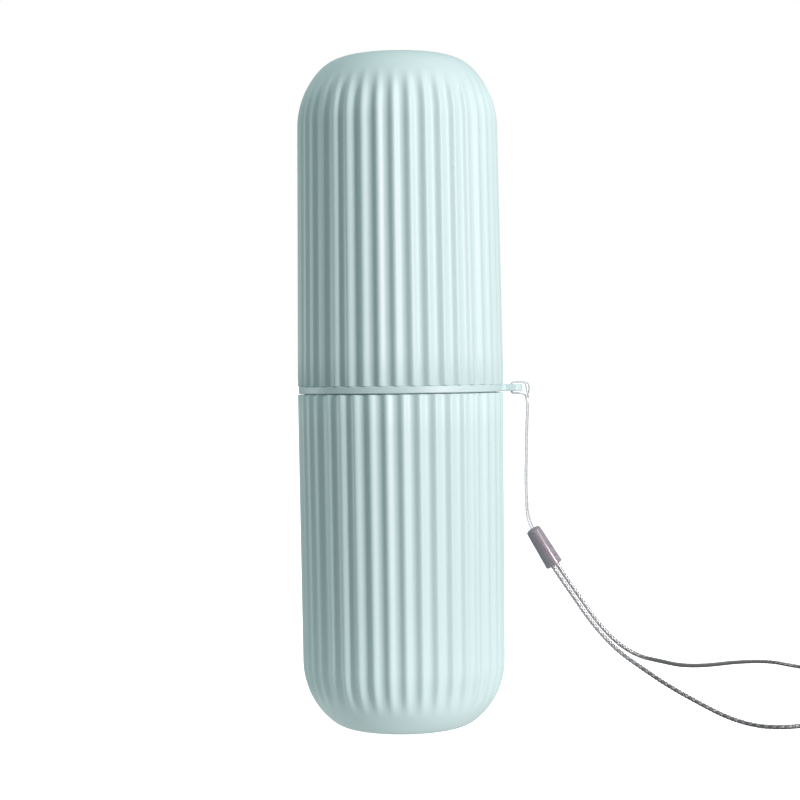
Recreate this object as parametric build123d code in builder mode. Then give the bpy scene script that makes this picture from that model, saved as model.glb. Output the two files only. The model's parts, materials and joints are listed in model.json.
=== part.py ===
from build123d import *
from math import cos, pi, radians, sin, tan
import os

# Cylindrical travel case for a toothbrush: a fluted base and a fluted lid with domed ends, a smooth
# collar seated in the base that the lid slides over, a strap ring between the two rims, and a wrist
# lanyard hitched to the ring's ear. Millimetres, +Z up, the origin at the centre of the base's foot,
# the ear pointing along +X.

# ---- the case ----
case_height = 202.5
base_height = 100.6  # floor to the base's rim
seam_radius = 31.2  # over the rib crests, at both rims
base_draft = 0.39  # degrees: each half narrows from its rim to its dome
lid_draft = 0.62
wall = 1.75  # from the bottom of the flutes to the inside

# ---- the domed ends ----
base_shoulder_radius = 22.8  # arc next to the wall
base_nose_radius = 10.0  # arc next to the flat end
base_dome_turn = 51.5  # degrees up the dome, where the shoulder arc meets the nose arc
lid_shoulder_radius = 25.7
lid_nose_radius = 13.3
lid_dome_turn = 41.8

# ---- the flutes ----
flute_count = 40
flute_depth = 0.9
crest_share = 0.25  # of the pitch
valley_share = 0.25
flute_fade_start = 12.0  # degrees up the dome
flute_fade_end = 38.0
flute_steps = 4  # of the dome's fluted part, from the wall to where the flutes end
cap_steps = 3  # from there to the flat end
cavity_steps = 6  # of the whole dome inside
base_flute_angle = 1.3  # degrees from +X to the first crest
lid_flute_angle = -2.1

# ---- the collar ----
seat_depth = 16.0  # below the base's rim
seat_wall = 1.4  # of the base around the collar
seat_clearance = 0.03
shadow_gap = 0.25  # between the base's rim and the strap ring
collar_wall = 1.8
neck_height = 14.0  # above the strap ring
neck_clearance = 0.3  # to the lid's bore
bore_depth = 15.5  # of the lid's bore, past the collar's top
lead_in = 0.6  # chamfer on the collar's top edges

# ---- the seal ring ----
seal_height = 2.0
seal_groove_depth = 0.8
seal_groove_height = 2.2
seal_level = 7.0  # above the strap ring
seal_clearance = 0.05  # to the lid's bore and to the groove's root
seal_edge = 0.35

# ---- the strap ring ----
ring_thickness = 2.2
ring_inset = 0.3  # behind the rib crests
ring_clearance = 0.1  # to the neck
ring_edge = 0.25
ear_reach = 37.1  # from the case's axis to the ear's end
ear_radius = 2.8
ear_hole_radius = 1.0
ear_bar = 2.8  # from the hole to the ear's end
ear_root_fillet = 1.5

# ---- the sleeve on the lanyard ----
sleeve_top = Vector(39.5, 0, 59.0)
sleeve_tilt = 30.7  # degrees from the vertical
sleeve_length = 12.8
sleeve_top_radius = 2.3
sleeve_mouth_radius = 2.7
sleeve_mouth_wall = 0.55
sleeve_hole_radius = 1.0
sleeve_round = 0.9
ferrule_depth = 3.0  # from the sleeve's top
ferrule_length = 4.5
ferrule_radius = 1.45
ferrule_clearance = 0.03

# ---- the thread and the wrist cord ----
thread_diameter = 0.7
thread_half = 0.38  # half the distance between the two strands in the sleeve
cord_diameter = 1.4
cord_half = 0.73
tube_sides = 6
cord_entry = 14.0  # from the sleeve's top to the cord's first bend, just past its mouth
bend_share = 0.45  # of the shorter run at each corner

# ---- heights and radii that follow ----
ring_bottom = base_height + shadow_gap
lid_bottom = ring_bottom + ring_thickness
skin = flute_depth + wall
lid_bore = seam_radius - skin
neck_radius = lid_bore - neck_clearance
collar_bore = neck_radius - collar_wall
seat_radius = seam_radius - flute_depth - seat_wall
collar_bottom = base_height - seat_depth
collar_top = lid_bottom + neck_height
seal_bottom = lid_bottom + seal_level
groove_radius = neck_radius - seal_groove_depth
ring_bore = neck_radius + ring_clearance
ring_radius = seam_radius - ring_inset


class Half:
    """One half of the case with height 0 at its rim: a drafted wall, then the dome's two arcs."""

    def __init__(self, height, draft, shoulder_radius, nose_radius, dome_turn):
        self.height = height
        self.draft = draft
        self.shoulder_radius = shoulder_radius
        self.nose_radius = nose_radius
        self.dome_turn = dome_turn
        turn = radians(dome_turn)
        arc_step = shoulder_radius - nose_radius
        self.nose_z = height - nose_radius
        self.shoulder_z = self.nose_z - arc_step * sin(turn)
        wall_top = self.shoulder_z + shoulder_radius * sin(radians(draft))
        wall_top_radius = seam_radius - wall_top * tan(radians(draft))
        self.shoulder_r = wall_top_radius - shoulder_radius * cos(radians(draft))
        self.nose_r = self.shoulder_r + arc_step * cos(turn)

    def dome_point(self, angle, inset=0.0):
        """Radius and height where the dome's normal stands this many degrees above level."""
        if angle < self.dome_turn:
            r, z, arc = self.shoulder_r, self.shoulder_z, self.shoulder_radius - inset
        else:
            r, z, arc = self.nose_r, self.nose_z, self.nose_radius - inset
        return (r + arc * cos(radians(angle)), z + arc * sin(radians(angle)))


base_half = Half(
    base_height, base_draft, base_shoulder_radius, base_nose_radius, base_dome_turn
)
lid_half = Half(
    case_height - lid_bottom, lid_draft, lid_shoulder_radius, lid_nose_radius, lid_dome_turn
)


def flute_wire(radius, height, angle, depth, first_crest):
    """A closed ring of crests, flanks and valleys, sunk along the normal at this angle."""
    pitch = 360 / flute_count
    flank_share = (1 - crest_share - valley_share) / 2
    corners = []
    for i in range(flute_count):
        for share, sunk in (
            (-crest_share / 2, 0),
            (crest_share / 2, 0),
            (crest_share / 2 + flank_share, depth),
            (1 - crest_share / 2 - flank_share, depth),
        ):
            around = radians(first_crest + (i + share) * pitch)
            r = radius - sunk * cos(radians(angle))
            z = height - sunk * sin(radians(angle))
            corners.append((r * cos(around), r * sin(around), z))
    return Wire.make_polygon(corners)


def depth_at(angle):
    """How deep the flutes are at this angle up the dome: they run out in a smooth wave."""
    share = (angle - flute_fade_start) / (flute_fade_end - flute_fade_start)
    return flute_depth * (1 + cos(pi * min(max(share, 0), 1))) / 2


def fluted_half(half, first_crest):
    """The filled outside of one half: fluted wall, fluted dome and its smooth cap."""
    angles = [flute_fade_end * (i + 1) / flute_steps for i in range(flute_steps)]
    angles += [
        flute_fade_end + (90 - flute_fade_end) * (i + 1) / cap_steps for i in range(cap_steps)
    ]
    sections = [
        flute_wire(seam_radius, 0, 0, flute_depth, first_crest),
        flute_wire(*half.dome_point(half.draft), 0, flute_depth, first_crest),
    ]
    for angle in angles:
        sections.append(
            flute_wire(*half.dome_point(angle), angle, depth_at(angle), first_crest)
        )
    with BuildPart() as body:
        add(Solid.make_loft(sections, ruled=True))
    return body.part


def dome_inside(half):
    """The dome's inside as a half outline, from the cavity's straight wall to the axis."""
    turn = (90 - half.draft) / cavity_steps
    points = [half.dome_point(half.draft + turn * i, skin) for i in range(cavity_steps + 1)]
    return points + [(0, half.height - skin)]


def cord_path(name, points):
    """A cord's line: straight runs joined by arcs as large as the runs allow."""
    points = [Vector(*point) for point in points]
    radii = []
    for before, corner, after in zip(points, points[1:], points[2:]):
        turn = radians((corner - before).get_angle(after - corner))
        run = min((corner - before).length, (after - corner).length)
        radii.append(bend_share * run / tan(turn / 2))
    print(name, "bend radii", [round(radius, 1) for radius in radii])
    with BuildLine() as path:
        FilletPolyline(*points, radius=radii)
    return path.wire()


def cord_tube(name, points, diameter):
    """A many-sided tube of the cord's thickness along its path."""
    path = cord_path(name, points)
    with BuildPart() as tube:
        with BuildSketch(Plane(origin=path @ 0, z_dir=path % 0)):
            RegularPolygon(diameter / 2, tube_sides)
        sweep(path=path)
    section = tube_sides / 2 * (diameter / 2) ** 2 * sin(2 * pi / tube_sides)
    fill = tube.part.volume / (section * path.length)
    print(name, "length", round(path.length, 1), "volume over section times length", round(fill, 3))
    return tube.part


# ---- the base: fluted shell, open at the top, with a ledge that the collar stands on ----
with BuildPart() as base_shell:
    add(fluted_half(base_half, base_flute_angle))
    with BuildSketch(Plane.XZ):
        with BuildLine():
            inside = dome_inside(base_half)
            Polyline(
                *inside,
                (0, 0),
                (seat_radius, 0),
                (seat_radius, seat_depth),
                (inside[0][0], seat_depth),
                inside[0],
            )
        make_face()
    revolve(axis=Axis.Z, mode=Mode.SUBTRACT)
base_shell.part = base_shell.part.mirror(Plane.XY).moved(Location((0, 0, base_height)))
base_shell.part.label = "base_shell"
export_step(base_shell.part, "parts/base_shell.step")

# ---- the lid: fluted shell, open at the bottom, with a smooth bore that slides over the collar ----
with BuildPart() as lid_shell:
    add(fluted_half(lid_half, lid_flute_angle))
    with BuildSketch(Plane.XZ):
        with BuildLine():
            inside = dome_inside(lid_half)
            Polyline(
                *inside,
                (0, 0),
                (lid_bore, 0),
                (lid_bore, bore_depth),
                (inside[0][0], bore_depth),
                inside[0],
            )
        make_face()
    revolve(axis=Axis.Z, mode=Mode.SUBTRACT)
lid_shell.part = lid_shell.part.moved(Location((0, 0, lid_bottom)))
lid_shell.part.label = "lid_shell"
export_step(lid_shell.part, "parts/lid_shell.step")

# ---- the collar: stands on the base's ledge and carries the strap ring and the seal ring ----
with BuildPart() as neck_collar:
    with BuildSketch(Plane.XZ):
        with BuildLine():
            Polyline(
                (collar_bore, collar_bottom),
                (seat_radius - seat_clearance, collar_bottom),
                (seat_radius - seat_clearance, ring_bottom),
                (neck_radius, ring_bottom),
                (neck_radius, collar_top - lead_in),
                (neck_radius - lead_in, collar_top),
                (collar_bore, collar_top),
                close=True,
            )
        make_face()
        with Locations((groove_radius, seal_bottom)):
            Rectangle(
                neck_radius,
                seal_groove_height,
                align=(Align.MIN, Align.MIN),
                mode=Mode.SUBTRACT,
            )
    revolve(axis=Axis.Z)
neck_collar.part.label = "neck_collar"
export_step(neck_collar.part, "parts/neck_collar.step")

# ---- the seal ring: silicone, in the collar's groove, grips the lid's bore ----
with BuildPart() as seal_ring:
    with BuildSketch(Plane.XZ):
        with Locations((groove_radius + seal_clearance, seal_bottom)):
            Rectangle(
                lid_bore - groove_radius - 2 * seal_clearance,
                seal_height,
                align=(Align.MIN, Align.MIN),
            )
        chamfer(vertices().group_by(Axis.X)[-1], seal_edge)
    revolve(axis=Axis.Z)
seal_ring.part.label = "seal_ring"
export_step(seal_ring.part, "parts/seal_ring.step")

# ---- the strap ring: flat ring with an ear, held between the two rims ----
with BuildPart() as strap_ring:
    with BuildSketch(Plane.XY.offset(ring_bottom)) as ring_outline:
        Circle(ring_radius)
        ear_centre = ear_reach - ear_radius
        with Locations((ear_centre, 0)):
            Circle(ear_radius)
        with Locations((0, 0)):
            Rectangle(ear_centre, 2 * ear_radius, align=(Align.MIN, Align.CENTER))
        root = vertices().filter_by(lambda v: ring_bore < v.X < ring_radius)
        fillet(root, ear_root_fillet)
        Circle(ring_bore, mode=Mode.SUBTRACT)
        with Locations((ear_reach - ear_bar - ear_hole_radius, 0)):
            Circle(ear_hole_radius, mode=Mode.SUBTRACT)
    extrude(amount=ring_thickness)
    rims = faces().filter_by(Axis.Z)
    chamfer([rim.outer_wire().edges() for rim in rims], ring_edge)
strap_ring.part.label = "strap_ring"
export_step(strap_ring.part, "parts/strap_ring.step")

# ---- the sleeve: tapered cap over the crimp that joins the thread to the wrist cord ----
tilt = radians(sleeve_tilt)
sleeve_plane = Plane(origin=sleeve_top, x_dir=(cos(tilt), 0, sin(tilt)), z_dir=(0, -1, 0))
sleeve_axis = Axis(sleeve_top, (-sin(tilt), 0, cos(tilt)))
ferrule_end = ferrule_depth + ferrule_length
pocket_radius = ferrule_radius + ferrule_clearance
with BuildPart() as cord_sleeve:
    with BuildSketch(sleeve_plane):
        with BuildLine():
            Polyline(
                (sleeve_hole_radius, 0),
                (sleeve_top_radius, 0),
                (sleeve_mouth_radius, -sleeve_length),
                (sleeve_mouth_radius - sleeve_mouth_wall, -sleeve_length),
                (pocket_radius, -ferrule_end),
                (pocket_radius, -ferrule_depth),
                (sleeve_hole_radius, -ferrule_depth),
                close=True,
            )
        make_face()
        top_corner = sleeve_plane.from_local_coords((sleeve_top_radius, 0))
        fillet(vertices().sort_by_distance(top_corner)[0], sleeve_round)
    revolve(axis=sleeve_axis)
cord_sleeve.part.label = "cord_sleeve"
export_step(cord_sleeve.part, "parts/cord_sleeve.step")

# ---- the ferrule: metal crimp inside the sleeve, the thread ends in its top, the cord in its foot ----
with BuildPart() as cord_ferrule:
    with BuildSketch(sleeve_plane):
        with BuildLine():
            Polyline(
                (0, -ferrule_depth),
                (ferrule_radius, -ferrule_depth),
                (ferrule_radius, -ferrule_end),
                (0, -ferrule_end),
                close=True,
            )
        make_face()
    revolve(axis=sleeve_axis)
cord_ferrule.part.label = "cord_ferrule"
export_step(cord_ferrule.part, "parts/cord_ferrule.step")


def in_sleeve(across, along):
    """A point on the lanyard's middle plane, across the sleeve's axis and down from its top."""
    point = sleeve_plane.from_local_coords((across, -along, 0))
    return (point.X, point.Y, point.Z)


# ---- the thread: one strand from the crimp up to the ear, hitched round its bar, and back down ----
thread_points = [
    in_sleeve(-thread_half, ferrule_depth),
    (39.0, 0.0, 59.1),
    (37.75, -0.05, 62.7),
    (37.6, -0.2, 67.9),
    (37.48, -0.22, 74.9),
    (37.79, -0.24, 82.9),
    (38.0, -0.25, 90.9),
    (38.3, -0.27, 94.9),
    (38.32, -0.3, 97.0),
    (38.05, -0.38, 98.6),
    (38.0, -0.38, 99.5),
    (37.2, -0.38, 100.0),
    (35.4, -0.38, 100.25),
    (33.72, -0.38, 100.2),
    (33.66, -0.38, 101.9),
    (33.72, -0.38, 103.65),
    (35.4, -0.4, 103.6),
    (36.9, -0.5, 103.7),
    (37.95, -0.75, 103.2),
    (38.15, -0.95, 102.0),
    (38.3, -1.0, 100.7),
    (38.8, -0.95, 99.0),
    (38.8, 0.95, 99.0),
    (39.15, 1.0, 100.7),
    (39.2, 0.95, 102.0),
    (38.95, 0.7, 103.35),
    (37.1, 0.45, 103.7),
    (35.4, 0.4, 103.6),
    (33.72, 0.38, 103.65),
    (33.66, 0.38, 101.9),
    (33.72, 0.38, 100.2),
    (35.4, 0.38, 100.25),
    (37.2, 0.38, 100.0),
    (38.0, 0.38, 99.5),
    (38.07, 0.38, 98.6),
    (38.88, 0.3, 97.0),
    (38.86, 0.28, 94.9),
    (38.56, 0.27, 90.9),
    (38.35, 0.26, 82.9),
    (38.04, 0.25, 74.9),
    (38.16, 0.25, 67.9),
    (38.45, 0.03, 63.0),
    (39.66, 0.0, 59.49),
    in_sleeve(thread_half, ferrule_depth),
]
tether_thread = cord_tube("tether_thread", thread_points, thread_diameter)
tether_thread.label = "tether_thread"
export_step(tether_thread, "parts/tether_thread.step")

# ---- the wrist cord: one loop from the crimp, down to the floor, round and back ----
cord_points = [
    in_sleeve(-cord_half, ferrule_end),
    in_sleeve(-cord_half, cord_entry),
    (51.7, 0.0, 38.2),
    (56.5, -0.1, 31.0),
    (61.2, -1.3, 25.36),
    (65.5, -3.1, 21.24),
    (70.6, -5.2, 17.64),
    (78.5, -8.2, 12.3),
    (87.2, -10.0, 7.39),
    (96.1, -11.6, 2.77),
    (103.9, -14.8, 0.8),
    (110.8, -17.3, 0.72),
    (117.7, -15.3, 0.72),
    (126.1, -8.9, 0.72),
    (135.0, 0.5, 0.72),
    (143.3, 12.8, 0.72),
    (149.3, 28.1, 0.72),
    (152.2, 44.3, 0.72),
    (152.7, 61.1, 0.72),
    (150.7, 77.8, 0.72),
    (146.3, 91.6, 0.72),
    (138.4, 100.0, 0.95),
    (128.6, 95.5, 3.56),
    (113.8, 76.8, 6.22),
    (99.1, 50.6, 9.02),
    (88.4, 31.9, 12.02),
    (81.6, 18.5, 15.16),
    (76.7, 6.5, 17.73),
    (72.05, 0.3, 19.54),
    (66.6, -1.2, 22.6),
    (62.1, -0.7, 26.6),
    (57.7, 0.1, 31.9),
    (52.95, 0.0, 39.05),
    in_sleeve(cord_half, cord_entry),
    in_sleeve(cord_half, ferrule_end),
]
wrist_cord = cord_tube("wrist_cord", cord_points, cord_diameter)
wrist_cord.label = "wrist_cord"
export_step(wrist_cord, "parts/wrist_cord.step")
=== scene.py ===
import json
from math import cos, pi, radians, sin, tan

import bmesh
import bpy
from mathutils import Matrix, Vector

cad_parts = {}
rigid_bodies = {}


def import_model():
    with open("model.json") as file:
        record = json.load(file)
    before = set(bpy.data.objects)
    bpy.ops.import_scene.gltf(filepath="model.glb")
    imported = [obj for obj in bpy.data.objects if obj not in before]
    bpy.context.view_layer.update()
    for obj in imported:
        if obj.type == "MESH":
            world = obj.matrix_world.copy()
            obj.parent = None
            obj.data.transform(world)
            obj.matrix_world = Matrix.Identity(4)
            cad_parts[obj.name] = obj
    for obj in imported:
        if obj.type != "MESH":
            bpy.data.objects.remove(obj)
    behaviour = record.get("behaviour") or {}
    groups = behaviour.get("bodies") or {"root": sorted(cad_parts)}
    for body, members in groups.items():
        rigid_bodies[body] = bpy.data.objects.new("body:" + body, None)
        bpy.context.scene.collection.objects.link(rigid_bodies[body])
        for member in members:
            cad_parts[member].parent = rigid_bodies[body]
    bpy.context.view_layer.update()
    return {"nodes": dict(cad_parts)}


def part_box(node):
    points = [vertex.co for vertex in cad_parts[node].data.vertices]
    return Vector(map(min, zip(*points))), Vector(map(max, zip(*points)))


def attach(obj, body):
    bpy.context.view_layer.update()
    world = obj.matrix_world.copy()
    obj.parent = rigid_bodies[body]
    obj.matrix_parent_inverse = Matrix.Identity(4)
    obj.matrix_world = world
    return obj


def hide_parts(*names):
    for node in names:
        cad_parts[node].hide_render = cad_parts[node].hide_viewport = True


# Travel case for a toothbrush, standing upright on a pale table, with its wrist lanyard beside it.
# Metres, +Z up, the origin at the centre of the case's foot, the ear along +X.
bpy.ops.object.select_all(action="SELECT")
bpy.ops.object.delete()
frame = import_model()

# ---- the base shell ----
# The lower half of the case: a cup with a domed foot and 40 upright flutes that run out on the dome.
# It is injection-moulded in mint polypropylene with a fine matt grain, and the collar is seated in its
# bore. The mesh is the shell's own section, turned about the axis with the flutes sunk into its outside.
seam_radius = 0.0312
wall = 0.00175
rim_edge = 0.00018
flute_count = 40
flute_depth = 0.0009
flute_fullness = 1.3  # over 1 the crests are narrow and the valleys wide
flute_columns = 16  # mesh columns to one flute
flute_fade_start = 12.0  # degrees up the dome
flute_fade_end = 38.0
wall_rows = 8  # mesh rows of the wall, of the dome's outside and of its inside
dome_rows = 60
inner_dome_rows = 24
rim_curve = 0.3  # of the rim's edge, where its middle row stands
base_draft = 0.39  # degrees
base_dome = (0.0228, 0.0100, 51.5)  # arc next to the wall, arc next to the end, degrees where they meet
base_bore = 0.0289
base_bore_depth = 0.016
base_first_crest = 1.3  # degrees from +X
base_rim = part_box("base_shell")[1].z


def shell_profile(height, draft, dome_shape, bore, bore_depth):
    """Rows of (radius, height above the rim, degrees of the outside's normal or None inside)."""
    shoulder_radius, nose_radius, dome_turn = dome_shape
    skin = flute_depth + wall
    arc_step = shoulder_radius - nose_radius
    nose_z = height - nose_radius
    shoulder_z = nose_z - arc_step * sin(radians(dome_turn))
    wall_top = shoulder_z + shoulder_radius * sin(radians(draft))
    wall_top_radius = seam_radius - wall_top * tan(radians(draft))
    shoulder_r = wall_top_radius - shoulder_radius * cos(radians(draft))
    nose_r = shoulder_r + arc_step * cos(radians(dome_turn))

    def dome(angle, inset):
        if angle < dome_turn:
            r, z, arc = shoulder_r, shoulder_z, shoulder_radius - inset
        else:
            r, z, arc = nose_r, nose_z, nose_radius - inset
        return r + arc * cos(radians(angle)), z + arc * sin(radians(angle))

    rows = [
        (seam_radius - rim_edge, 0.0, 0.0),
        (seam_radius - rim_edge * rim_curve, rim_edge * rim_curve, 0.0),
        (seam_radius, rim_edge, 0.0),
    ]
    for i in range(1, wall_rows + 1):
        share = i / wall_rows
        rows.append((seam_radius + (wall_top_radius - seam_radius) * share, wall_top * share, 0.0))
    for i in range(1, dome_rows + 1):
        angle = draft + (90 - draft) * i / dome_rows
        rows.append((*dome(angle, 0), angle))
    rows.append((0.0, height, 90.0))
    rows.append((0.0, height - skin, None))
    for i in range(inner_dome_rows + 1):
        angle = 90 - (90 - draft) * i / inner_dome_rows
        rows.append((*dome(angle, skin), None))
    inside = rows[-1][0]
    rows.append((inside, bore_depth + rim_edge, None))
    rows.append((inside, bore_depth, None))
    rows.append((bore, bore_depth, None))
    rows.append((bore, rim_edge, None))
    rows.append((bore + rim_edge, 0.0, None))
    return rows


def smooth_mesh(name, vertices, faces):
    """A smooth-shaded mesh object made from its corners and faces, which are turned outwards."""
    mesh = bpy.data.meshes.new(name)
    mesh.from_pydata([tuple(vertex) for vertex in vertices], [], faces)
    mesh.validate()
    for polygon in mesh.polygons:
        polygon.use_smooth = True
    bm = bmesh.new()
    bm.from_mesh(mesh)
    bmesh.ops.recalc_face_normals(bm, faces=bm.faces)
    bm.to_mesh(mesh)
    bm.free()
    piece = bpy.data.objects.new(name, mesh)
    bpy.context.scene.collection.objects.link(piece)
    return piece


def fluted_shell(name, rows, rim_z, way_up, first_crest):
    """A closed shell from its rows, turned about the axis, with the flutes sunk into its outside."""
    columns = flute_count * flute_columns
    vertices = []
    starts = []
    for radius, height, angle in rows:
        starts.append((len(vertices), 1 if radius == 0 else columns))
        fade = 0 if angle is None else (angle - flute_fade_start) / (flute_fade_end - flute_fade_start)
        depth = 0 if angle is None else flute_depth * (1 + cos(pi * min(max(fade, 0), 1))) / 2
        for k in range(starts[-1][1]):
            turn = 2 * pi * k / columns
            crest = ((1 + cos(flute_count * (turn - radians(first_crest)))) / 2) ** flute_fullness
            sunk = depth * (1 - crest)
            r = radius - sunk * cos(radians(angle or 0))
            z = height - sunk * sin(radians(angle or 0))
            vertices.append((r * cos(turn), r * sin(turn), rim_z + way_up * z))
    faces = []
    for (low, low_count), (high, high_count) in zip(starts, starts[1:] + starts[:1]):
        for k in range(columns):
            after = (k + 1) % columns
            if low_count == 1 and high_count == 1:
                break
            if low_count == 1:
                faces.append((low, high + k, high + after))
            elif high_count == 1:
                faces.append((low + k, low + after, high))
            else:
                faces.append((low + k, low + after, high + after, high + k))
    return smooth_mesh(name, vertices, faces)


def moulded_group():
    """A shared surface: slow colour drift, uneven roughness and a fine spark-eroded grain."""
    group = bpy.data.node_groups.new("moulded_surface", "ShaderNodeTree")
    for label, kind, value in (
        ("Colour", "NodeSocketColor", (0.5, 0.5, 0.5, 1)),
        ("Drift", "NodeSocketFloat", 0.04),
        ("Roughness", "NodeSocketFloat", 0.5),
        ("Grain size", "NodeSocketFloat", 6000.0),
        ("Grain depth", "NodeSocketFloat", 0.1),
    ):
        socket = group.interface.new_socket(label, in_out="INPUT", socket_type=kind)
        socket.default_value = value
    group.interface.new_socket("Colour", in_out="OUTPUT", socket_type="NodeSocketColor")
    group.interface.new_socket("Roughness", in_out="OUTPUT", socket_type="NodeSocketFloat")
    group.interface.new_socket("Normal", in_out="OUTPUT", socket_type="NodeSocketVector")
    nodes, links = group.nodes, group.links
    given = nodes.new("NodeGroupInput")
    result = nodes.new("NodeGroupOutput")
    place = nodes.new("ShaderNodeTexCoord")
    slow = nodes.new("ShaderNodeTexNoise")
    slow.inputs["Scale"].default_value = 28.0
    slow.inputs["Detail"].default_value = 3.0
    grain = nodes.new("ShaderNodeTexNoise")
    grain.inputs["Detail"].default_value = 2.0
    shift = nodes.new("ShaderNodeMath")
    shift.operation = "MULTIPLY_ADD"
    shift.inputs[2].default_value = 1.0
    centred = nodes.new("ShaderNodeMath")
    centred.operation = "SUBTRACT"
    centred.inputs[1].default_value = 0.5
    shade = nodes.new("ShaderNodeHueSaturation")
    rough = nodes.new("ShaderNodeMath")
    rough.operation = "MULTIPLY"
    bump = nodes.new("ShaderNodeBump")
    bump.inputs["Distance"].default_value = 0.00002
    links.new(place.outputs["Object"], slow.inputs["Vector"])
    links.new(place.outputs["Object"], grain.inputs["Vector"])
    links.new(given.outputs["Grain size"], grain.inputs["Scale"])
    links.new(slow.outputs["Fac"], centred.inputs[0])
    links.new(centred.outputs[0], shift.inputs[0])
    links.new(given.outputs["Drift"], shift.inputs[1])
    links.new(shift.outputs[0], shade.inputs["Value"])
    links.new(given.outputs["Colour"], shade.inputs["Color"])
    links.new(given.outputs["Roughness"], rough.inputs[0])
    links.new(shift.outputs[0], rough.inputs[1])
    links.new(grain.outputs["Fac"], bump.inputs["Height"])
    links.new(given.outputs["Grain depth"], bump.inputs["Strength"])
    links.new(shade.outputs["Color"], result.inputs["Colour"])
    links.new(rough.outputs[0], result.inputs["Roughness"])
    links.new(bump.outputs["Normal"], result.inputs["Normal"])
    return group


moulded = moulded_group()


def material_with(name, **shader_values):
    """A new material, its Principled shader with these values, and its node tree."""
    material = bpy.data.materials.new(name)
    material.use_nodes = True
    tree = material.node_tree
    shader = tree.nodes["Principled BSDF"]
    for socket, value in shader_values.items():
        shader.inputs[socket.replace("_", " ")].default_value = value
    return material, shader, tree


def moulded_material(name, colour, roughness, grain_size, grain_depth, **shader_values):
    """A material that takes its surface from the shared group."""
    material, shader, tree = material_with(name, **shader_values)
    surface = tree.nodes.new("ShaderNodeGroup")
    surface.node_tree = moulded
    surface.inputs["Colour"].default_value = (*colour, 1)
    surface.inputs["Roughness"].default_value = roughness
    surface.inputs["Grain size"].default_value = grain_size
    surface.inputs["Grain depth"].default_value = grain_depth
    tree.links.new(surface.outputs["Colour"], shader.inputs["Base Color"])
    tree.links.new(surface.outputs["Roughness"], shader.inputs["Roughness"])
    tree.links.new(surface.outputs["Normal"], shader.inputs["Normal"])
    return material


def paint(piece, material):
    piece.data.materials.clear()
    piece.data.materials.append(material)


mint = moulded_material(
    "mint_plastic", colour=(0.505, 0.67, 0.665), roughness=0.46, grain_size=5200, grain_depth=0.18
)
base_rows = shell_profile(base_rim, base_draft, base_dome, base_bore, base_bore_depth)
base_shell = fluted_shell("base_fluted", base_rows, base_rim, -1, base_first_crest)
paint(base_shell, mint)
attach(base_shell, "base")
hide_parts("base_shell")

# ---- the neck collar ----
# A smooth tube of the same mint polypropylene, moulded and seated in the base's bore. The strap ring
# turns round it and the lid slides over it. Its solid is plain, so only its surface is given here.
paint(frame["nodes"]["neck_collar"], mint)

# ---- the strap ring ----
# A flat ring that lies between the two rims, with an ear at one side that the lanyard hangs from.
# It is moulded in the mint polypropylene and keeps its solid's shape.
paint(frame["nodes"]["strap_ring"], mint)

# ---- the seal ring ----
# A soft ring of pale moulded silicone, stretched into the collar's groove. It bears on the lid's bore
# and holds the lid on by friction.
silicone = moulded_material(
    "seal_silicone", colour=(0.70, 0.76, 0.74), roughness=0.55, grain_size=3000, grain_depth=0.05
)
paint(frame["nodes"]["seal_ring"], silicone)

# ---- the lid shell ----
# The upper half of the case, moulded like the base, with its own dome and draft. It slides over the
# collar, and its flutes stand a little out of step with the base's.
case_height = 0.2025
lid_draft = 0.62  # degrees
lid_dome = (0.0257, 0.0133, 41.8)  # arc next to the wall, arc next to the end, degrees where they meet
lid_bore = 0.02855
lid_bore_depth = 0.0155
lid_first_crest = -2.1  # degrees from +X
lid_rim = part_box("lid_shell")[0].z
lid_rows = shell_profile(case_height - lid_rim, lid_draft, lid_dome, lid_bore, lid_bore_depth)
lid_shell = fluted_shell("lid_fluted", lid_rows, lid_rim, 1, lid_first_crest)
paint(lid_shell, mint)
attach(lid_shell, "lid")
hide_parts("lid_shell")

# ---- the crimp ferrule ----
# A short plated tube inside the sleeve, squeezed over the ends of the thread and of the cord, which it
# joins. It keeps its solid's shape.
crimp = moulded_material(
    "crimp_metal", colour=(0.62, 0.62, 0.63), roughness=0.25, grain_size=4000, grain_depth=0.08, Metallic=1.0
)
paint(frame["nodes"]["cord_ferrule"], crimp)

# ---- the sleeve ----
# A small tapered cap of glossy mauve-grey plastic that lets a little light in. It is moulded and pushed
# over the crimp, and hangs tilted on the thread.
sleeve_top = Vector((0.0395, 0, 0.0590))
sleeve_tilt = radians(30.7)
sleeve_across = Vector((cos(sleeve_tilt), 0, sin(sleeve_tilt)))
sleeve_down = Vector((sin(sleeve_tilt), 0, -cos(sleeve_tilt)))
sleeve_columns = 64
sleeve_outline = [  # radius and distance down from the top: outside, foot, then back up the inside
    (0.00100, 0.0000),
    (0.00140, 0.0000),
    (0.00172, 0.00006),
    (0.00200, 0.00022),
    (0.00220, 0.00048),
    (0.00230, 0.00082),
    (0.00233, 0.00120),
    (0.00268, 0.01255),
    (0.00266, 0.01272),
    (0.00257, 0.0128),
    (0.00220, 0.0128),
    (0.00215, 0.0126),
    (0.00148, 0.0075),
    (0.00148, 0.0030),
    (0.00100, 0.0030),
]


def in_sleeve(across, along):
    """A point in the sleeve's middle plane, across its middle line and down along it."""
    return sleeve_top + sleeve_across * across + sleeve_down * along


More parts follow.
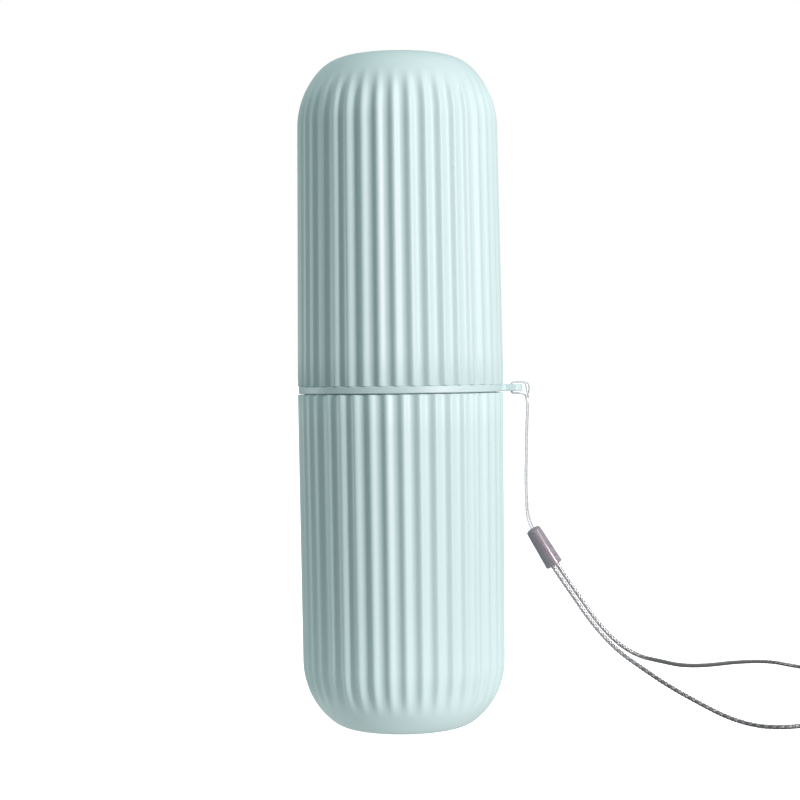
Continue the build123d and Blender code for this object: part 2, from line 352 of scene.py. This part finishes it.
sleeve_points = []
sleeve_faces = []
for radius, along in sleeve_outline:
    for k in range(sleeve_columns):
        turn = 2 * pi * k / sleeve_columns
        across = sleeve_across * (radius * cos(turn)) + Vector((0, radius * sin(turn), 0))
        sleeve_points.append(sleeve_top + sleeve_down * along + across)
for row in range(len(sleeve_outline)):
    for k in range(sleeve_columns):
        low = row * sleeve_columns
        high = (row + 1) % len(sleeve_outline) * sleeve_columns
        after = (k + 1) % sleeve_columns
        sleeve_faces.append((low + k, low + after, high + after, high + k))
cord_sleeve = smooth_mesh("cord_sleeve_glossy", sleeve_points, sleeve_faces)
mauve = moulded_material(
    "sleeve_plastic",
    colour=(0.26, 0.24, 0.27),
    roughness=0.28,
    grain_size=2500,
    grain_depth=0.02,
    Coat_Weight=0.4,
    Subsurface_Weight=0.7,
    Subsurface_Radius=(1, 0.9, 0.95),
    Subsurface_Scale=0.002,
)
paint(cord_sleeve, mauve)
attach(cord_sleeve, "strap")
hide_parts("cord_sleeve")

# ---- the thread ----
# One pale nylon thread, laid up from three twisted plies. It is doubled and hitched round the ear's
# outer bar, hangs down as two strands, and both its ends are held in the crimp.
thread_half = 0.00038  # from the sleeve's middle line to each strand
thread_step = 0.00018  # between the rows of its mesh
thread_plies = 3
thread_ply_radius = 0.00017
thread_ply_lay = 0.00018  # from the thread's line to each ply's
thread_ply_sides = 7
thread_twist = 0.0021  # metres for a whole turn
crimp_top = 0.003  # down the sleeve


def nurbs_route(name, points):
    """A smooth curve that has the route's points as its control points."""
    curve = bpy.data.curves.new(name, "CURVE")
    curve.dimensions = "3D"
    curve.resolution_u = 24
    spline = curve.splines.new("NURBS")
    spline.points.add(len(points) - 1)
    for control, point in zip(spline.points, points):
        control.co = (*point, 1)
    spline.order_u = 3
    spline.use_endpoint_u = True
    route = bpy.data.objects.new(name, curve)
    bpy.context.scene.collection.objects.link(route)
    return route


def line_of(route):
    """The points that the smooth curve runs through, read from the curve itself."""
    bpy.context.view_layer.update()
    seen = route.evaluated_get(bpy.context.evaluated_depsgraph_get())
    mesh = bpy.data.meshes.new_from_object(seen)
    points = [vertex.co.copy() for vertex in mesh.vertices]
    bpy.data.meshes.remove(mesh)
    return points


def even_points(points, step):
    """Points an even step apart along a line of points."""
    reach = [0.0]
    for before, after in zip(points, points[1:]):
        reach.append(reach[-1] + (after - before).length)
    count = max(2, round(reach[-1] / step))
    spaced = []
    segment = 0
    for i in range(count + 1):
        target = reach[-1] * i / count
        while segment < len(points) - 2 and reach[segment + 1] < target:
            segment += 1
        share = (target - reach[segment]) / max(reach[segment + 1] - reach[segment], 1e-9)
        spaced.append(points[segment].lerp(points[segment + 1], min(max(share, 0), 1)))
    return spaced


def frames_along(points):
    """At each point two directions across the line, carried along it without twisting."""
    frames = []
    side = Vector((0, 1, 0))
    for i, point in enumerate(points):
        ahead = (points[min(i + 1, len(points) - 1)] - points[max(i - 1, 0)]).normalized()
        side = (side - ahead * side.dot(ahead)).normalized()
        frames.append((point, side, ahead.cross(side)))
    return frames


def strand_tubes(name, points, ways, radius, sides, thickness=None):
    """Strands laid about a line: each way gives a strand's offset at a distance along it. A strand
    is round, or lies flat against the line where it has a thickness of its own."""
    frames = frames_along(points)
    travelled = [0.0]
    for before, after in zip(points, points[1:]):
        travelled.append(travelled[-1] + (after - before).length)
    vertices = []
    faces = []
    for way in ways:
        start = len(vertices)
        middles = []
        for (point, side, up), distance in zip(frames, travelled):
            across, lift = way(distance)
            middles.append(point + side * across + up * lift)
        for (middle, side, up), point in zip(frames_along(middles), points):
            height = radius
            if thickness:
                ahead = side.cross(up)
                up = (middle - point).normalized()
                side = ahead.cross(up).normalized()
                height = thickness
            for k in range(sides):
                turn = 2 * pi * k / sides
                vertices.append(middle + side * (cos(turn) * radius) + up * (sin(turn) * height))
        for row in range(len(middles) - 1):
            for k in range(sides):
                a = start + row * sides + k
                b = start + row * sides + (k + 1) % sides
                faces.append((a, b, b + sides, a + sides))
        faces.append(tuple(start + k for k in reversed(range(sides))))
        last = start + (len(middles) - 1) * sides
        faces.append(tuple(last + k for k in range(sides)))
    return smooth_mesh(name, vertices, faces)


def tone_strands(piece, strands, sides, step, tone_at):
    """Tells the yarn's material how dark each spot is, by its strand and its distance in metres from
    the nearer end."""
    tone = piece.data.attributes.new("tone", "FLOAT", "POINT")
    share = len(piece.data.vertices) // strands
    rows = share // sides
    for i, value in enumerate(tone.data):
        row = i % share // sides
        value.value = tone_at(i // share, min(row, rows - row) * step)


def yarn_material(name, **shader_values):
    """Yarn with fine fibres along it."""
    material, shader, tree = material_with(name, **shader_values)
    place = tree.nodes.new("ShaderNodeTexCoord")
    fibre = tree.nodes.new("ShaderNodeTexNoise")
    fibre.inputs["Scale"].default_value = 9000.0
    bump = tree.nodes.new("ShaderNodeBump")
    bump.inputs["Strength"].default_value = 0.3
    bump.inputs["Distance"].default_value = 0.00002
    tree.links.new(place.outputs["Object"], fibre.inputs["Vector"])
    tree.links.new(fibre.outputs["Fac"], bump.inputs["Height"])
    tree.links.new(bump.outputs["Normal"], shader.inputs["Normal"])
    return material, shader, tree


def tone_and_highlight_yarn(name, light, dark, **shader_values):
    """Yarn whose colour runs from light to dark with its tone."""
    material, shader, tree = yarn_material(name, **shader_values)
    tone = tree.nodes.new("ShaderNodeAttribute")
    tone.attribute_name = "tone"
    mix = tree.nodes.new("ShaderNodeMix")
    mix.data_type = "RGBA"
    mix.inputs["A"].default_value = (*light, 1)
    mix.inputs["B"].default_value = (*dark, 1)
    tree.links.new(tone.outputs["Fac"], mix.inputs["Factor"])
    tree.links.new(mix.outputs["Result"], shader.inputs["Base Color"])
    return material


def thread_ply(k):
    def way(distance):
        turn = 2 * pi * (distance / thread_twist + k / thread_plies)
        return (thread_ply_lay * cos(turn), thread_ply_lay * sin(turn))

    return way


thread_route = nurbs_route(
    "tether_thread_line",
    [
        in_sleeve(-thread_half, crimp_top),
        (0.039, 0, 0.0591),
        (0.03775, -0.00005, 0.0627),
        (0.0376, -0.0002, 0.0679),
        (0.03748, -0.00022, 0.0749),
        (0.03779, -0.00024, 0.0829),
        (0.038, -0.00025, 0.0909),
        (0.0383, -0.00027, 0.0949),
        (0.03832, -0.0003, 0.097),
        (0.03805, -0.00038, 0.0986),
        (0.038, -0.00038, 0.0995),
        (0.0372, -0.00038, 0.1),
        (0.0354, -0.00038, 0.10025),
        (0.03372, -0.00038, 0.1002),
        (0.03366, -0.00038, 0.1019),
        (0.03372, -0.00038, 0.10365),
        (0.0354, -0.0004, 0.1036),
        (0.0369, -0.0005, 0.1037),
        (0.03795, -0.00075, 0.1032),
        (0.03815, -0.00095, 0.102),
        (0.0383, -0.001, 0.1007),
        (0.0388, -0.00095, 0.099),
        (0.0388, 0.00095, 0.099),
        (0.03915, 0.001, 0.1007),
        (0.0392, 0.00095, 0.102),
        (0.03895, 0.0007, 0.10335),
        (0.0371, 0.00045, 0.1037),
        (0.0354, 0.0004, 0.1036),
        (0.03372, 0.00038, 0.10365),
        (0.03366, 0.00038, 0.1019),
        (0.03372, 0.00038, 0.1002),
        (0.0354, 0.00038, 0.10025),
        (0.0372, 0.00038, 0.1),
        (0.038, 0.00038, 0.0995),
        (0.03807, 0.00038, 0.0986),
        (0.03888, 0.0003, 0.097),
        (0.03886, 0.00028, 0.0949),
        (0.03856, 0.00027, 0.0909),
        (0.03835, 0.00026, 0.0829),
        (0.03804, 0.00025, 0.0749),
        (0.03816, 0.00025, 0.0679),
        (0.03845, 0.00003, 0.063),
        (0.03966, 0, 0.05949),
        in_sleeve(thread_half, crimp_top),
    ],
)
thread_line = even_points(line_of(thread_route), thread_step)
bpy.data.objects.remove(thread_route)
tether_thread = strand_tubes(
    "tether_thread_laid",
    thread_line,
    [thread_ply(k) for k in range(thread_plies)],
    thread_ply_radius,
    thread_ply_sides,
)
tone_strands(tether_thread, thread_plies, thread_ply_sides, thread_step, lambda ply, reach: ply % 2)
thread_yarn = tone_and_highlight_yarn(
    "thread_nylon",
    light=(0.73, 0.78, 0.81),
    dark=(0.63, 0.68, 0.72),
    Roughness=0.5,
    Subsurface_Weight=0.8,
    Subsurface_Radius=(1, 1, 1),
    Subsurface_Scale=0.0008,
)
paint(tether_thread, thread_yarn)
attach(tether_thread, "strap")
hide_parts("tether_thread")

# ---- the wrist cord ----
# One loop of silver-grey braid: eight flat strands, four each way, woven over a core coloured near-black,
# which paints the shade in the gaps between the strands. Both ends are held in the crimp, and the loop hangs
# down to the table, runs round on it and comes back. Next to the sleeve the yarn is painted pale, a painted
# highlight where the steep cord catches the key light, and it is dark grey in the loop.
cord_half = 0.00073  # from the sleeve's middle line to each of the cord's ends
cord_step = 0.00026  # between the rows of its mesh
crimp_foot = 0.0075  # down the sleeve
cord_entry = 0.014
braid_ways = 4  # strands in each direction
braid_radius = 0.00054
braid_wave = 0.00004  # how far a strand rises over and dips under the others
braid_half_width = 0.00023
braid_half_thickness = 0.00012
braid_sides = 8
braid_turn = 0.0046  # metres for a whole turn
core_sides = 12
# Up to the first reach from each end the yarn is painted pale, a painted highlight next to the sleeve where
# the steep cord catches the key light; by the second it has faded to the loop's dark grey.
highlight_reach = 0.030  # from each end
dark_reach = 0.048
second_strand_tone = 0.35  # how much darker every second strand is


def braid_strand_way(k, hand):
    def way(distance):
        turn = hand * 2 * pi * distance / braid_turn + 2 * pi * k / braid_ways
        out = braid_radius + hand * braid_wave * cos(braid_ways * turn)
        return (out * cos(turn), out * sin(turn))

    return way


# How dark each spot of the braid is painted: pale near the ends as a painted highlight, dark grey in the
# loop, and every second strand of darker yarn.
def cord_highlight_and_stripe(strand, reach):
    share = (reach - highlight_reach) / (dark_reach - highlight_reach)
    return min(max(share, 0), 1) * (1 - second_strand_tone) + strand % 2 * second_strand_tone


cord_route = nurbs_route(
    "wrist_cord_line",
    [
        in_sleeve(-cord_half, crimp_foot),
        in_sleeve(-cord_half, cord_entry),
        (0.0517, 0, 0.0382),
        (0.0565, -0.0001, 0.031),
        (0.0612, -0.0013, 0.02536),
        (0.0655, -0.0031, 0.02124),
        (0.0706, -0.0052, 0.01764),
        (0.0785, -0.0082, 0.0123),
        (0.0872, -0.01, 0.00739),
        (0.0961, -0.0116, 0.00277),
        (0.1039, -0.0148, 0.0008),
        (0.1108, -0.0173, 0.00072),
        (0.1177, -0.0153, 0.00072),
        (0.1261, -0.0089, 0.00072),
        (0.135, 0.0005, 0.00072),
        (0.1433, 0.0128, 0.00072),
        (0.1493, 0.0281, 0.00072),
        (0.1522, 0.0443, 0.00072),
        (0.1527, 0.0611, 0.00072),
        (0.1507, 0.0778, 0.00072),
        (0.1463, 0.0916, 0.00072),
        (0.1384, 0.1, 0.00095),
        (0.1286, 0.0955, 0.00356),
        (0.1138, 0.0768, 0.00622),
        (0.0991, 0.0506, 0.00902),
        (0.0884, 0.0319, 0.01202),
        (0.0816, 0.0185, 0.01516),
        (0.0767, 0.0065, 0.01773),
        (0.07205, 0.0003, 0.01954),
        (0.0666, -0.0012, 0.0226),
        (0.0621, -0.0007, 0.0266),
        (0.0577, 0.0001, 0.0319),
        (0.05295, 0, 0.03905),
        in_sleeve(cord_half, cord_entry),
        in_sleeve(cord_half, crimp_foot),
    ],
)
cord_line = even_points(line_of(cord_route), cord_step)
bpy.data.objects.remove(cord_route)
braid = [braid_strand_way(k, hand) for hand in (1, -1) for k in range(braid_ways)]
wrist_cord = strand_tubes(
    "wrist_cord_braid", cord_line, braid, braid_half_width, braid_sides, braid_half_thickness
)
tone_strands(wrist_cord, len(braid), braid_sides, cord_step, cord_highlight_and_stripe)
# Its pale colour is the painted highlight next to the sleeve, its dark one the loop's dark grey.
cord_yarn = tone_and_highlight_yarn(
    "cord_braid", light=(0.68, 0.69, 0.70), dark=(0.17, 0.175, 0.18), Roughness=0.34, Metallic=0.8
)
paint(wrist_cord, cord_yarn)
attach(wrist_cord, "strap")
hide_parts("wrist_cord")
# The core is coloured near-black: painted shade that shows as dark flecks in the gaps between the strands.
cord_core = strand_tubes("wrist_cord_core", cord_line, [lambda distance: (0, 0)], braid_radius, core_sides)
core_yarn = yarn_material("cord_core", Base_Color=(0.03, 0.03, 0.032, 1), Roughness=0.7)[0]
paint(cord_core, core_yarn)
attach(cord_core, "strap")
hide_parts("wrist_cord")

# ---- the table ----
# A plain white table top under the case. The camera sees it glowing plain white. The case sees it dark,
# but for a painted glow round the foot that throws bounce light up on the case's foot.
table_size = 60
# A glowing patch round the foot, no lamp, paints the light that the table throws back up on the case.
patch_inner = 0.02  # from the case's axis, where the patch starts to fade
patch_outer = 0.13
patch_glow = 0.58
tone_to_case = 0.12  # the little that it throws back on the case
tone_to_camera = 0.92
bpy.ops.mesh.primitive_plane_add(size=table_size)
table = bpy.context.object
table.name = "table"
table_material, table_shader, table_tree = material_with(
    "table_white", Roughness=0.8, Emission_Color=(1, 1, 1, 1)
)
table_ray = table_tree.nodes.new("ShaderNodeLightPath")
table_tone = table_tree.nodes.new("ShaderNodeMapRange")
table_tone.inputs["To Min"].default_value = tone_to_case
table_tone.inputs["To Max"].default_value = tone_to_camera
table_place = table_tree.nodes.new("ShaderNodeTexCoord")
table_reach = table_tree.nodes.new("ShaderNodeVectorMath")
table_reach.operation = "LENGTH"
table_near = table_tree.nodes.new("ShaderNodeMapRange")
table_near.interpolation_type = "SMOOTHSTEP"
table_near.inputs["From Min"].default_value = patch_inner
table_near.inputs["From Max"].default_value = patch_outer
table_near.inputs["To Min"].default_value = patch_glow
table_near.inputs["To Max"].default_value = 0.0
table_glow = table_tree.nodes.new("ShaderNodeMix")
table_glow.inputs["B"].default_value = 1.0  # bleaches the table as the studio's white does
table_tree.links.new(table_place.outputs["Object"], table_reach.inputs[0])
table_tree.links.new(table_reach.outputs["Value"], table_near.inputs["Value"])
table_tree.links.new(table_ray.outputs["Is Camera Ray"], table_tone.inputs["Value"])
table_tree.links.new(table_tone.outputs["Result"], table_shader.inputs["Base Color"])
table_tree.links.new(table_ray.outputs["Is Camera Ray"], table_glow.inputs["Factor"])
table_tree.links.new(table_near.outputs["Result"], table_glow.inputs["A"])
table_tree.links.new(table_glow.outputs["Result"], table_shader.inputs["Emission Strength"])
paint(table, table_material)

# ---- the light ----
# Two warm soft lights at the right and in front, one low and one high, and two weak white ones at the
# left, one low and a little behind, one high. A pale studio all round gives the rest.
warm = (1.0, 0.86, 0.875)
white = (1.0, 1.0, 1.0)
case_middle = Vector((0, 0, 0.1))
studio_on_case = 0.55
studio_on_camera = 1.0


def soft_light(name, place, size, power, colour):
    """An area light that looks at the case's middle."""
    data = bpy.data.lights.new(name, "AREA")
    data.size = size
    data.energy = power
    data.color = colour
    light = bpy.data.objects.new(name, data)
    bpy.context.scene.collection.objects.link(light)
    light.location = place
    light.rotation_euler = (case_middle - Vector(place)).to_track_quat("-Z", "Y").to_euler()


soft_light("key", place=(0.70, -0.71, 0.22), size=0.12, power=6.75, colour=warm)
soft_light("key_high", place=(0.70, -0.60, 0.65), size=0.30, power=4.4, colour=warm)
soft_light("left_rim", place=(-0.93, 0.36, 0.12), size=0.12, power=1.5, colour=white)
soft_light("left_high", place=(-0.75, 0.10, 0.75), size=0.30, power=0.8, colour=white)
world = bpy.data.worlds.new("studio")
world.use_nodes = True
world_nodes = world.node_tree.nodes
ray = world_nodes.new("ShaderNodeLightPath")
strength = world_nodes.new("ShaderNodeMapRange")
strength.inputs["To Min"].default_value = studio_on_case
strength.inputs["To Max"].default_value = studio_on_camera
tint = world_nodes.new("ShaderNodeMix")
tint.data_type = "RGBA"
tint.inputs["A"].default_value = (0.87, 1.0, 1.0, 1)  # the cool light on the case
tint.inputs["B"].default_value = (1, 1, 1, 1)
world.node_tree.links.new(ray.outputs["Is Camera Ray"], tint.inputs["Factor"])
world.node_tree.links.new(tint.outputs["Result"], world_nodes["Background"].inputs["Color"])
world.node_tree.links.new(ray.outputs["Is Camera Ray"], strength.inputs["Value"])
world.node_tree.links.new(strength.outputs["Result"], world_nodes["Background"].inputs["Strength"])
bpy.context.scene.world = world
bpy.context.scene.view_settings.view_transform = "Standard"

# ---- the camera ----
# Level, a little above the case's middle, and as far off as the case's size was worked out for.
camera_distance = 0.6
camera_height = 0.1071
camera_roll = 0.77  # degrees, the case's top leans left
camera_lens = 88.87  # millimetres, as is the sensor
camera_sensor = 36
horizon_above_middle = 0.035  # of the image's height
axis_right_of_middle = 0.0004  # of the image's width
camera_data = bpy.data.cameras.new("camera")
camera_data.lens = camera_lens
camera_data.sensor_width = camera_sensor
camera_data.shift_x = -axis_right_of_middle
camera_data.shift_y = -horizon_above_middle
camera = bpy.data.objects.new("camera", camera_data)
bpy.context.scene.collection.objects.link(camera)
camera.location = (0, -camera_distance, camera_height)
camera.rotation_euler = (radians(90), radians(camera_roll), 0)
bpy.context.scene.camera = camera
